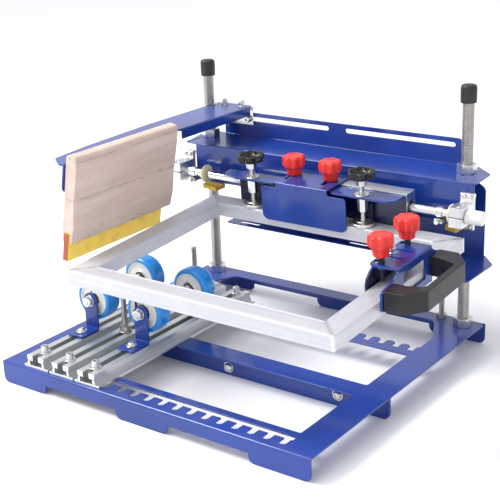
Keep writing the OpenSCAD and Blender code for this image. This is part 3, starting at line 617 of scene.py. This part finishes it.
# ------------------------------------------------------------------ wheels
def stand(key, xw, yw, s):
    M = MP @ T3((xw, yw, 0)) @ (Matrix.Scale(-1, 4, (0, 1, 0)) if s < 0 else I4)
    y_face = yw - 3 * s
    soft("bracket_" + key, BLUE, 0.4, folds=[(xw - 20, xw + 20, min(yw, y_face) - 0.6, max(yw, y_face) + 0.6, 49.2, 52.5)], fold_w=2.0)
    mb = MB()
    mb.box(-10, 10, -32, -16, 35.4, 41.2, M)
    F = M @ T3((0, -24, 0))
    socket_head(mb, 5.5, 54.2, 3.5, 3.6, 36.5, 2.9, F, button=True)
    washer(mb, 8, 3.05, 52.6, 54.2, F)
    A = M @ T3((0, 0, 91)) @ AY
    hex_head(mb, 13, 28.3, 33.6, A)
    mb.rev([(0, -4.4), (3.95, -4.4), (3.95, 28.4), (0, 28.4)], 32, A)
    mb.rev([(4.02, 0), (5.9, 0), (6.2, 0.3), (6.2, 2.4), (5.9, 2.7), (4.02, 2.7)], 32, A, closed=True)
    washer(mb, 8, 4.05, -4.6, -3, A)
    hex_nut(mb, 13, 3.7, -11.1, -4.6, A)
    mb.thread(4, 1.25, -12, -4, 0.55, 20, A)
    make("v_fasteners_" + key, mb, [ZINC], "fasteners_" + key)
    # tyre: flat tread, soft shoulders, shallow side groove and a moulding line
    W = M @ T3((0, 3, 91)) @ AY
    mb = MB()
    half = [(23.5, 0.25), (24.1, 0.0), (25.4, 0.05), (25.9, 0.35), (26.5, 0.25), (27.6, 0.75), (28.7, 1.8), (29.45, 3.3), (29.8, 5.4), (29.93, 8.2), (30.0, 12.36), (29.93, 12.44)]
    prof = half + [(r, 25 - z) for r, z in half[::-1]]
    mb.rev(prof, 104, W, closed=True)
    make("v_tyre_" + key, mb, [TYRE], "tyre_" + key, smooth=50)
    # hub: rim, shallow sunk web and two shielded bearings
    mb = MB()
    rim = [(11.2, 1.1), (11.6, 0.65), (13.0, 0.62), (13.4, 0.9), (14.1, 1.6), (20.2, 1.6), (20.8, 0.95), (21.2, 0.62), (23.0, 0.6), (23.48, 0.85)]
    prof = rim + [(r, 25 - z) for r, z in rim[::-1]]
    mb.rev(prof, 80, W, 0, closed=True)
    for z0, z1 in ((0.6, 7.6), (24.4, 17.4)):
        d = 1 if z1 > z0 else -1
        mb.rev([(9.3, z0 + 0.05 * d), (10.9, z0), (11.19, z0 + 0.3 * d), (11.19, z1), (4.06, z1), (4.06, z0 + 0.3 * d), (4.3, z0), (5.9, z0 + 0.05 * d), (6.0, z0 + 0.35 * d), (9.2, z0 + 0.35 * d)],
               56, W, closed=True, mats=[1, 1, 1, 1, 1, 1, 1, 1, 2, 1])
    make("v_hub_" + key, mb, [HUBW, ZINC, SEAL], "hub_" + key, smooth=40)


stand("front_left", RAILS[0], 118, 1)
stand("front_right", RAILS[2], 118, 1)
stand("rear_left", RAILS[0], 247, -1)
stand("rear_right", RAILS[2], 247, -1)

# ------------------------------------------------------------------ posts
mb = MB()
for x in POSTS:
    mb.thread(8, 2.0, 13, 371, 1.0, 48, MP @ T3((x, 430, 0)))
make("v_threaded_posts", mb, [STUD], "threaded_posts", smooth=25)
mb = MB()
for x in POSTS:
    A = MP @ T3((x, 430, 0))
    ribs = lambda a: 10.95 - 0.25 * (1 if int(a / TAU * 72) % 3 == 0 else 0)
    mb.rev([(8.05, 350.4), (8.4, 350), (10.4, 350), (10.9, 350.5), (10.9, 352.4), (10.6, 352.8), (10.6, 353.3), (ribs, 353.8), (ribs, 369.2), (10.7, 370.2), (10.5, 371.6), (9.9, 372.9), (8.4, 373.8), (5.0, 374.1), (0, 374.2)], 72, A)
    mb.rev([(8.05, 350.4), (8.05, 371.4), (0, 371.4)], 72, A)
make("v_post_caps", mb, [BLACK], "post_caps", smooth=40)
mb = MB()
for x in POSTS:
    A = MP @ T3((x, 430, 0))
    hex_nut(mb, 24, 7.3, 31, 44, A)
    hex_nut(mb, 24, 7.3, 16, 29, A)
make("v_post_base_nuts", mb, [ZINC], "post_base_nuts")
mb = MB(); A = MP @ T3((186.6, 440.5, 0))
mb.thread(4, 1.25, 15, 110, 0.6, 22, A)
hex_nut(mb, 13, 3.7, 31, 37.5, A); hex_nut(mb, 13, 3.7, 22.5, 29, A)
make("v_stop_stud", mb, [STUD], "stop_stud")

# ------------------------------------------------------------------ head
soft("head_upper_bracket", BLUE, 0.45, folds=[(-260, 270, 384 - E, 384 + E, 254 - E, 254 + E), (-260, 270, 463 - E, 463 + E, 252 - E, 252 + E)], fold_w=2.6)
soft("head_lower_bracket", BLUE, 0.45, folds=[(-260, 270, 415.5 - E, 415.5 + E, 251.8 - E, 251.8 + E), (-260, 270, 417.5 - E, 417.5 + E, 143 - E, 143 + E)])
mb = MB()
for x in POSTS:
    A = MP @ T3((x, 430, 0))
    hex_nut(mb, 24, 7.4, 254, 267, A)
    hex_nut(mb, 24, 7.4, 236.8, 249.8, A)
make("v_head_post_nuts", mb, [ZINC], "head_post_nuts")
XS = MP @ T3((0, 360, 217)) @ AX
mb = MB()
mb.rev([(0, -232), (5.2, -232), (6, -231.2), (6, 281.2), (5.2, 282), (0, 282)], 48, XS)
make("v_guide_shaft", mb, [SHAFT], "guide_shaft")
soft("shaft_supports", CAST, 0.5, seg=3)
mb = MB()
for x in (-216, 251):
    for dx in (-4.3, 4.3):
        for dz in (-20.5, 20.5):
            A = MP @ T3((x + dx, 360, 217 + dz)) @ AY @ Matrix.Rotation(math.pi, 4, "X")
            socket_head(mb, 3.5, -18, 3.8, 2.6, -(24 + (6 if dz > 0 else 0)), 1.95, A, knurl=False, n=30)
            if dz > 0:
                hex_nut(mb, 7, 1.9, -29, -26, A, n=36)
    socket_head(mb, 3.5, 9.05, 3.9, 2.6, -7, 1.95, MP @ T3((x, 350, 217)), knurl=False, n=30)
make("v_head_bolts", mb, [ZINC], "head_bolts")
mb = MB()
mb.rev([(6.05, 260.9), (9.6, 260.8), (10.3, 261.5), (10.3, 266), (9.7, 266.8), (9.5, 282.2), (8.9, 283.2), (7.6, 283.5), (0, 283.5)], 48, XS)
mb.rev([(6.05, 260.9), (6.05, 282.05), (0, 282.05)], 48, XS)
make("v_shaft_sleeve", mb, [SLEEVE], "shaft_sleeve", smooth=40)
mb = MB()
for x in (-169.5, 236.6):
    A = XS @ T3((0, 0, x))
    mb.rev([(6.03, 0.3), (6.6, 0), (11.8, 0.1), (12.9, 0.7), (13.45, 2.0), (13.45, 2.8), (12.9, 4.1), (11.8, 4.7), (6.6, 4.8), (6.03, 4.5)], 56, A, closed=True)
for x0, x1 in ((-183, -157), (225, 241)):
    o = [(x0 + 1, 368.2), (x1 - 1, 368.2), (x1, 369.4), (x1, 390.6), (x1 - 1, 391.8), (x0 + 1, 391.8), (x0, 390.6), (x0, 369.4)]
    a = mb.add([(x, y, 188.6 + (0.0 if x > (x0 + x1) / 2 else 2.2)) for x, y in o], MP)
    c = mb.add([(x, y, 196.6 - (0.0 if x < (x0 + x1) / 2 else 2.6)) for x, y in o], MP)
    mb.face(a[::-1], 1); mb.face(c, 1); mb.bridge(a, c, 1)
make("v_rubber_bumpers", mb, [RINGM, PADM], "rubber_bumpers", smooth=40)
mb = MB()
for x in (-191, 222.6):
    A = XS @ T3((0, 0, x))
    mb.rev([(6.04, -4.5), (7.1, -4.5), (7.3, -4.2), (7.3, 4.2), (7.1, 4.5), (6.04, 4.5)], 48, A, closed=True)
    for k in range(11):
        a = math.radians(20 + k * 22)
        K = A @ Matrix.Rotation(a, 4, "Z")
        mb.box(7.0, 7.45, -0.55, 0.55, -3.2, 3.2, K)
    H = MP @ T3((x, 360, 217))
    mb.prism([(-5.4, -7.4), (5.4, -7.4), (5.4, 4.4), (-5.4, 4.4)], -13.2, -7.3, H)
    Sx = H @ T3((0, -13.5, -10.4)) @ AY
    hex_head(mb, 6.2, 0, 4.0, Sx @ T3((0, 0, 4)) @ Matrix.Rotation(math.pi, 4, "X"), dish=True, n=36)
    mb.rev([(0, 3.8), (3.4, 3.8), (3.4, 20.6), (3.0, 21.3), (0, 21.4)], 32, Sx)
make("v_hose_clamps", mb, [ZINC], "hose_clamps")

# ------------------------------------------------------------------ carriage
XT = MT @ AX
mb = MB()
for x in (-11, 148):
    mb.rev([(6.06, x + 0.6), (6.5, x + 0.3), (8.6, x + 0.3), (8.7, x), (10.2, x), (10.45, x + 0.4), (10.45, x + 29.6), (10.2, x + 30), (8.7, x + 30), (8.6, x + 29.7), (6.5, x + 29.7), (6.06, x + 29.4)], 48, XT, closed=True,
           mats=[1, 1, 0, 0, 0, 0, 0, 0, 0, 1, 1, 1])
make("v_linear_bearings", mb, [STAIN, SEAL], "linear_bearings")
soft("bearing_block", CAST, 0.5, seg=3)


def bent(node, w, places, fw, angle=32.0, clamp=False):
    """Folded sheet in the tilted frame: places are (x0,x1,y0,y1,z0,z1) boxes in carriage millimetres."""
    inv = MT.inverted()

    def pick(e):
        a, b = [inv @ (v.co / MM) for v in e.verts]
        if e.calc_face_angle_signed(0) <= 0:
            return False
        return any(all(x0 <= p.x <= x1 and y0 <= p.y <= y1 and z0 <= p.z <= z1 for p in (a, b)) for (x0, x1, y0, y1, z0, z1) in places)
    return soft(node, BLUE, w, pick=pick, fold_w=fw, angle=angle, clamp=clamp)


o = bent("clamp_channel", 0.4, [(-120, 190, -12 - E, -12 + E, 20 - E, 20 + E), (-120, 190, -12 - E, -12 + E, -46.8 - E, -46.8 + E)], 2.6)
# Inner wall of the channel under the tab takes the near-black copy of the paint: painted shade.
o.data.materials.append(BLUE_PAINTED_SHADE)
inv = MT.inverted()
for p in o.data.polygons:
    c = inv @ (p.center / MM)
    if c.y < -14.2 and -43.7 < c.z < 16.9:
        p.material_index = 1
bent("stop_plate", 0.4, [(-60, 110, -48.6 - E, -48.6 + E, 24.3 - E, 24.3 + E)], 2.4)
bent("side_bracket", 0.3, [(267.4 - E, 267.4 + E, -200, -100, 2 - E, 2 + E), (267.4 - E, 267.4 + E, -200, -100, -46.8 - E, -46.8 + E)], 2.4, 60.0)
o = bent("side_jaw", 0.3, [(229.7 - E, 231.2 + E, -200, -100, -1.4 - E, -1.4 + E)], 1.8, 60.0, True)
# Side plate of the jaw under the top plate takes the near-black copy of the paint: painted shade.
o.data.materials.append(BLUE_PAINTED_SHADE)
for p in o.data.polygons:
    c = inv @ (p.center / MM)
    if c.x < 234.0 and c.z < -4.3:
        p.material_index = 1


def screen_frame():
    """Four mitred box bars of the screen, die-lined along their length, with the seams ground over and small welds inside."""
    X0, X1, Y0, Y1, ZT, ZB, W = -142.5, 264.0, -333.1, -15.5, -23.6, -43.6, 30.0
    r = 1.3
    prof = []
    for (cu, cz, a0) in ((W - r, ZT - r, 0), (r, ZT - r, 90), (r, ZB + r, 180), (W - r, ZB + r, 270)):
        for k in range(5):
            a = math.radians(a0 + 22.5 * k)
            prof.append((cu + r * math.cos(a), cz + r * math.sin(a)))
        if a0 == 0:
            for u in (27.2, 3.4):
                prof += [(u + 0.35, ZT), (u, ZT - 0.16), (u - 0.35, ZT)]
        if a0 == 90:
            for z in (-29.4, -37.8):
                prof += [(0, z + 0.35), (0.16, z), (0, z - 0.35)]
    # top face runs outward, outer face runs down
    mb = MB()
    cu, cz = W / 2, (ZT + ZB) / 2

    def bar_run(place, lo, hi, mats):
        """place(t, u, z) puts a point; lo(u) and hi(u) are the mitre ends."""
        rings = []
        for end, sgn in ((lo, 1), (hi, -1)):
            part = []
            for off, inset in ((0.03, 0.30), (0.22, 0.06), (0.5, 0.0), (3.4, 0.0)):
                part.append([(end(u) + sgn * off, u + (cu - u) / cu * inset, z + (cz - z) / 10.0 * inset) for u, z in prof])
            rings += part if sgn > 0 else part[::-1]
        loops = [mb.add([place(*p) for p in ring], MT) for ring in rings]
        for k, (a, b) in enumerate(zip(loops, loops[1:])):
            mb.bridge(a, b, mats[1] if k in (2, 4) else mats[0])
        mb.face(loops[0][::-1], mats[0]); mb.face(loops[-1], mats[0])
    bar_run(lambda t, u, z: (t, Y0 + u, z), lambda u: X0 + u, lambda u: X1 - u, (0, 2))
    bar_run(lambda t, u, z: (t, Y1 - u, z), lambda u: X0 + u, lambda u: X1 - u, (0, 2))
    bar_run(lambda t, u, z: (X0 + u, t, z), lambda u: Y0 + u, lambda u: Y1 - u, (1, 2))
    bar_run(lambda t, u, z: (X1 - u, t, z), lambda u: Y0 + u, lambda u: Y1 - u, (1, 2))
    rnd = random.Random(11)
    for cx, cy, sx, sy in ((X0 + W, Y0 + W, 1, 1), (X1 - W, Y0 + W, -1, 1), (X0 + W, Y1 - W, 1, -1), (X1 - W, Y1 - W, -1, -1)):
        n = 15
        rings = []
        for k in range(n):
            z = ZT - 0.9 - (ZT - ZB - 1.8) * k / (n - 1)
            rr = (1.9 if k % 2 else 1.45) + rnd.uniform(-0.12, 0.12)
            if k in (0, n - 1):
                rr = 0.5
            rings.append((rr, z))
        A = MT @ T3((cx + 0.25 * sx, cy + 0.25 * sy, 0))
        mb.rev([(0, rings[0][1] + 0.1)] + rings + [(0, rings[-1][1] - 0.1)], 14, A, 3)
    make("v_screen_frame", mb, [BAR_X, BAR_Y, GROUND, WELD], "screen_frame", smooth=32)


screen_frame()
soft("handle", GRIP, 1.0, seg=3)


def star_knob(mb, M, zb, mat, n_l=6, r=20.0, h=12.5):
    """Black star grip: six rounded lobes with deep scallops, a thin raised rim round a deep cup, a boss below."""
    N = n_l * 18

    def R(f, k):
        def g(a):
            c = 0.5 + 0.5 * math.cos(n_l * a)
            return r * f * (k + (1 - k) * (c ** 0.62))
        return g
    base = zb
    rings = [(0, base), (7.4, base), (8.6, base + 0.3), (R(0.56, .97), base + 1.0), (R(0.76, .90), base + 1.9), (R(0.92, .83), base + 3.2), (R(0.985, .79), base + 4.8), (R(1.0, .775), base + 6.6),
             (R(1.0, .775), base + h - 2.6), (R(0.98, .78), base + h - 1.0), (R(0.95, .785), base + h - 0.25), (R(0.92, .79), base + h), (R(0.86, .80), base + h), (R(0.83, .805), base + h - 0.35), (R(0.80, .81), base + h - 1.6),
             (R(0.72, .85), base + h - 4.0), (R(0.62, .92), base + h - 5.6), (10.4, base + h - 6.3), (0, base + h - 6.5)]
    mb.rev(rings, N, M, mat)


def clamp_screw(node, x):
    mb = MB(); A = MT @ T3((x, -31.3, 0))
    star_knob(mb, A, 41.2, 1)
    mb.thread(4, 1.25, -16.2, 33.5, 0.6, 22, A, 0)
    mb.rev([(0, -21), (2.6, -21), (3.0, -20.5), (3.0, -15.8), (0, -15.8)], 24, A, 0)
    hex_nut(mb, 13, 3.8, 33.0, 41.2, A, 0)
    make("v_" + node, mb, [ZINC, BLACKG], node, smooth=38)


def foot(node, x):
    mb = MB(); A = MT @ T3((x, -31.3, 0))
    mb.rev([(3.06, -16.6), (3.06, -21.2), (0, -21.2)], 48, A)
    mb.rev([(0, -23.3), (15.3, -23.3), (16.0, -22.7), (16.0, -19.1), (15.5, -18.5), (11.0, -18.2), (9.6, -17.8), (8.7, -17.0), (8.0, -16.5), (3.6, -16.5), (3.06, -16.6)], 60, A)
    make("v_" + node, mb, [NICKEL], node, smooth=38)


clamp_screw("clamp_screw_left", -58.5); clamp_screw("clamp_screw_right", 122.5)
foot("clamp_foot_left", -58.5); foot("clamp_foot_right", 122.5)


def red_knob(node, x, y, z0, rs, zs, tip=0):
    mb = MB(); A = MT @ T3((x, y, 0))
    NL = 7; N = NL * 16

    def R(f, k):
        def g(a):
            c = 0.5 + 0.5 * math.cos(NL * a)
            return 16.5 * f * (k + (1 - k) * (c ** 0.75))
        return g

    def rib(r, d):
        return lambda a: r - d * (0.5 - 0.5 * math.cos(NL * a)) ** 2
    rings = [(rs, z0 + 0.2), (8.6, z0), (9.6, z0 + 0.5), (rib(10.3, 0.9), z0 + 2.0), (rib(10.7, 1.3), z0 + 5.0), (rib(11.0, 1.4), z0 + 9.0), (rib(11.5, 1.4), z0 + 10.8),
             (R(0.80, .86), z0 + 11.4), (R(0.93, .83), z0 + 12.1), (R(0.99, .81), z0 + 13.6), (R(1.0, .805), z0 + 16.0), (R(1.0, .805), z0 + 22.6), (R(0.975, .81), z0 + 25.0), (R(0.92, .82), z0 + 26.6), (R(0.83, .85), z0 + 27.6),
             (R(0.70, .90), z0 + 27.95), (9.6, z0 + 28.0), (9.0, z0 + 27.6), (8.6, z0 + 27.5), (0, z0 + 27.6)]
    mb.rev(rings, N, A, 0)
    mb.thread(rs, 1.0 if rs < 3.5 else 1.25, zs, z0 + 1.0, 0.5, 20, A, 1)
    mb.rev([(rs * 0.9, z0 + 0.3), (rs * 0.9, z0 + 1.5), (0, z0 + 1.5)], 20, A, 0)
    if tip:
        mb.rev([(0, -5.8), (tip, -5.8), (tip, -20.5), (tip - 0.5, -21), (0, -21)], 24, A, 1)
    make("v_" + node, mb, [RED, SEAL if tip else STAIN], node, smooth=40)


red_knob("stop_knob_left", -1, -8, 24.6, 3, 11.5)
red_knob("stop_knob_right", 59, -8, 24.6, 3, 11.5)
red_knob("side_knob_front", 238, -182, 10, 4, -6, 3)
red_knob("side_knob_rear", 238, -118, 10, 4, -6, 3)

mb = MB()
for x in (-58.5, 122.5):
    A = MT @ T3((x, -31.3, 0))
    hex_nut(mb, 12, 4.05, -3, 17, A)
    washer(mb, 10.5, 4.3, 20, 21.4, A)
for x in (5, 85, 165):
    A = MT @ T3((x, -12, -11.2)) @ AYN
    mb.rev([(0, -5), (1.9, -5), (1.9, 3), (0, 3)], 20, A)
make("v_carriage_fasteners", mb, [ZINC], "carriage_fasteners")
mb = MB()
for y in (-219, -104):
    A = MT @ T3((264.6, y, -23)) @ AX
    H = hexr(3.4)
    mb.rev([(0, 25), (2.6, 25), (2.9, 24.6), (2.9, 2.2), (5.2, 0.2), (5.1, 0.05), (H, 0.05), (H, 2.2), (0, 2.4)], 36, A)
A = MT @ T3((236, -151, 0))
socket_head(mb, 5, 3.6, 6, 4.4, -1, 2.9, A)
washer(mb, 6, 2.95, 2, 3.6, A)
make("v_side_clamp_bolts", mb, [ZINC], "side_clamp_bolts")

# ------------------------------------------------------------------ squeegee
soft("squeegee_arm", BLUE, 0.45, folds=[(-148 - E, -148 + E, 270, 470, 303 - E, 303 + E), (-214 - E, -214 + E, 270, 470, 303 - E, 303 + E)], fold_w=2.4)
soft("arm_angle_bracket", ZINC, 0.4)
mb = MB()
for x in (-194, -161):
    A = MP @ T3((x, 447, 0))
    hex_head(mb, 10, 0, 4, A @ T3((0, 0, 297.3)) @ Matrix.Rotation(math.pi, 4, "X"), dish=False)
    mb.thread(3, 1.0, 297.2, 312.5, 0.45, 18, A)
    washer(mb, 6.2, 3.02, 303, 304.3, A)
    hex_nut(mb, 10, 2.8, 304.3, 309.3, A)
for x in (-190, -158):
    A = MP @ T3((x, 0, 281.25)) @ AY
    socket_head(mb, 5, -457.6, 6, 4.4, -470.5, 2.9, A @ Matrix.Rotation(math.pi, 4, "X"))
    washer(mb, 6.2, 3.02, 463.3, 464.5, A)
    hex_nut(mb, 10, 2.95, 464.5, 469.5, A)
for y in (30, 100, 170):
    A = MQ @ T3((-22.4, y, -38)) @ AX @ Matrix.Rotation(math.pi, 4, "X")
    socket_head(mb, 5, 0, 3, 2.6, -16, 2.4, A, button=True, n=40)
make("v_arm_bolts", mb, [ZINC], "arm_bolts")
soft("squeegee_board", WOOD, 1.6, seg=4, smooth=50)
mb = MB()
mb.prism([(-14.4, -148.1), (-14.2, -148.3), (-5.6, -148.3), (-5.4, -148.1), (-5.4, -108.9), (-14.4, -108.9)], -188.4, 0.8, MQ @ AYN, 0)
o = make("v_squeegee_blade", mb, [BLADE, BLADE_END], "squeegee_blade")
for p in o.data.polygons:
    if abs(p.normal.y) > 0.9:
        p.material_index = 1

# ------------------------------------------------------------------ stage, lights, camera
sc = bpy.context.scene
me = bpy.data.meshes.new("floor")
me.from_pydata([(-14, -14, 0), (14, -14, 0), (14, 14, 0), (-14, 14, 0)], [], [(0, 1, 2, 3)])
floor = bpy.data.objects.new("floor", me)
sc.collection.objects.link(floor)
fm = Mat("floor_white")
fm.set(Base_Color=(0.93, 0.93, 0.935, 1), Roughness=0.55, Specular=0.25)
me.materials.append(fm.m)

w = bpy.data.worlds.new("studio")
sc.world = w
w.use_nodes = True
w.node_tree.nodes["Background"].inputs["Color"].default_value = (0.97, 0.98, 1.0, 1)
w.node_tree.nodes["Background"].inputs["Strength"].default_value = 0.80


def area(name, loc, target, size, power, col=(1, 1, 1)):
    l = bpy.data.lights.new(name, "AREA")
    l.shape = "RECTANGLE"; l.size, l.size_y = size
    l.energy = power; l.color = col
    o = bpy.data.objects.new(name, l)
    o.location = loc
    o.rotation_euler = (Vector(target) - Vector(loc)).to_track_quat("-Z", "Y").to_euler()
    sc.collection.objects.link(o)
    return o


sun = bpy.data.lights.new("softsun", "SUN")
sun.energy = 0.95; sun.angle = math.radians(48)
so = bpy.data.objects.new("softsun", sun)
so.rotation_euler = (Vector((0, 0, 0)) - Vector((-0.55, -0.62, 1.55))).to_track_quat("-Z", "Y").to_euler()
sc.collection.objects.link(so)


def panel(name, d, dist, along, size, power):
    """Soft panel seen from the part in direction d, its long side along the given way."""
    z = Vector(d).normalized()
    x = Vector(along); x = (x - z * x.dot(z)).normalized()
    y = z.cross(x)
    l = bpy.data.lights.new(name, "AREA")
    l.shape = "RECTANGLE"; l.size, l.size_y = size
    l.energy = power
    o = bpy.data.objects.new(name, l)
    c = z * dist + Vector((0, 0, 0.1))
    o.matrix_world = Matrix(((x.x, y.x, z.x, c.x), (x.y, y.y, z.y, c.y), (x.z, y.z, z.z, c.z), (0, 0, 0, 1)))
    sc.collection.objects.link(o)


panel("strip", (-0.57, -0.26, 0.78), 2.2, (0, -0.89, -0.45), (1.25, 0.60), 36)
area("fill", (2.2, -1.1, 1.2), (0, 0, 0.15), (1.2, 1.2), 5)
area("front", (-0.4, -2.4, 1.3), (0, 0, 0.15), (1.6, 0.9), 4)

yaw, pitch, roll = math.radians(36.701), math.radians(-19.38), math.radians(-2.183)
F = Vector((-math.sin(yaw) * math.cos(pitch), math.cos(yaw) * math.cos(pitch), math.sin(pitch)))
R = Vector((math.cos(yaw), math.sin(yaw), 0))
U = R.cross(F)
R2 = R * math.cos(roll) + U * math.sin(roll)
U2 = -R * math.sin(roll) + U * math.cos(roll)
cd = bpy.data.cameras.new("camera")
cd.lens = 83.345; cd.sensor_width = 36; cd.sensor_fit = "HORIZONTAL"
cd.clip_start = 0.01; cd.clip_end = 60
cam = bpy.data.objects.new("camera", cd)
Mc = Matrix((( R2.x, U2.x, -F.x, 0), (R2.y, U2.y, -F.y, 0), (R2.z, U2.z, -F.z, 0), (0, 0, 0, 1)))
cam.matrix_world = T3(((885.3 + OX) * MM, (-950.7 + OY) * MM, 683.4 * MM)) @ Mc
sc.collection.objects.link(cam)
sc.camera = cam
sc.view_settings.view_transform = "Standard"
sc.view_settings.look = "None"
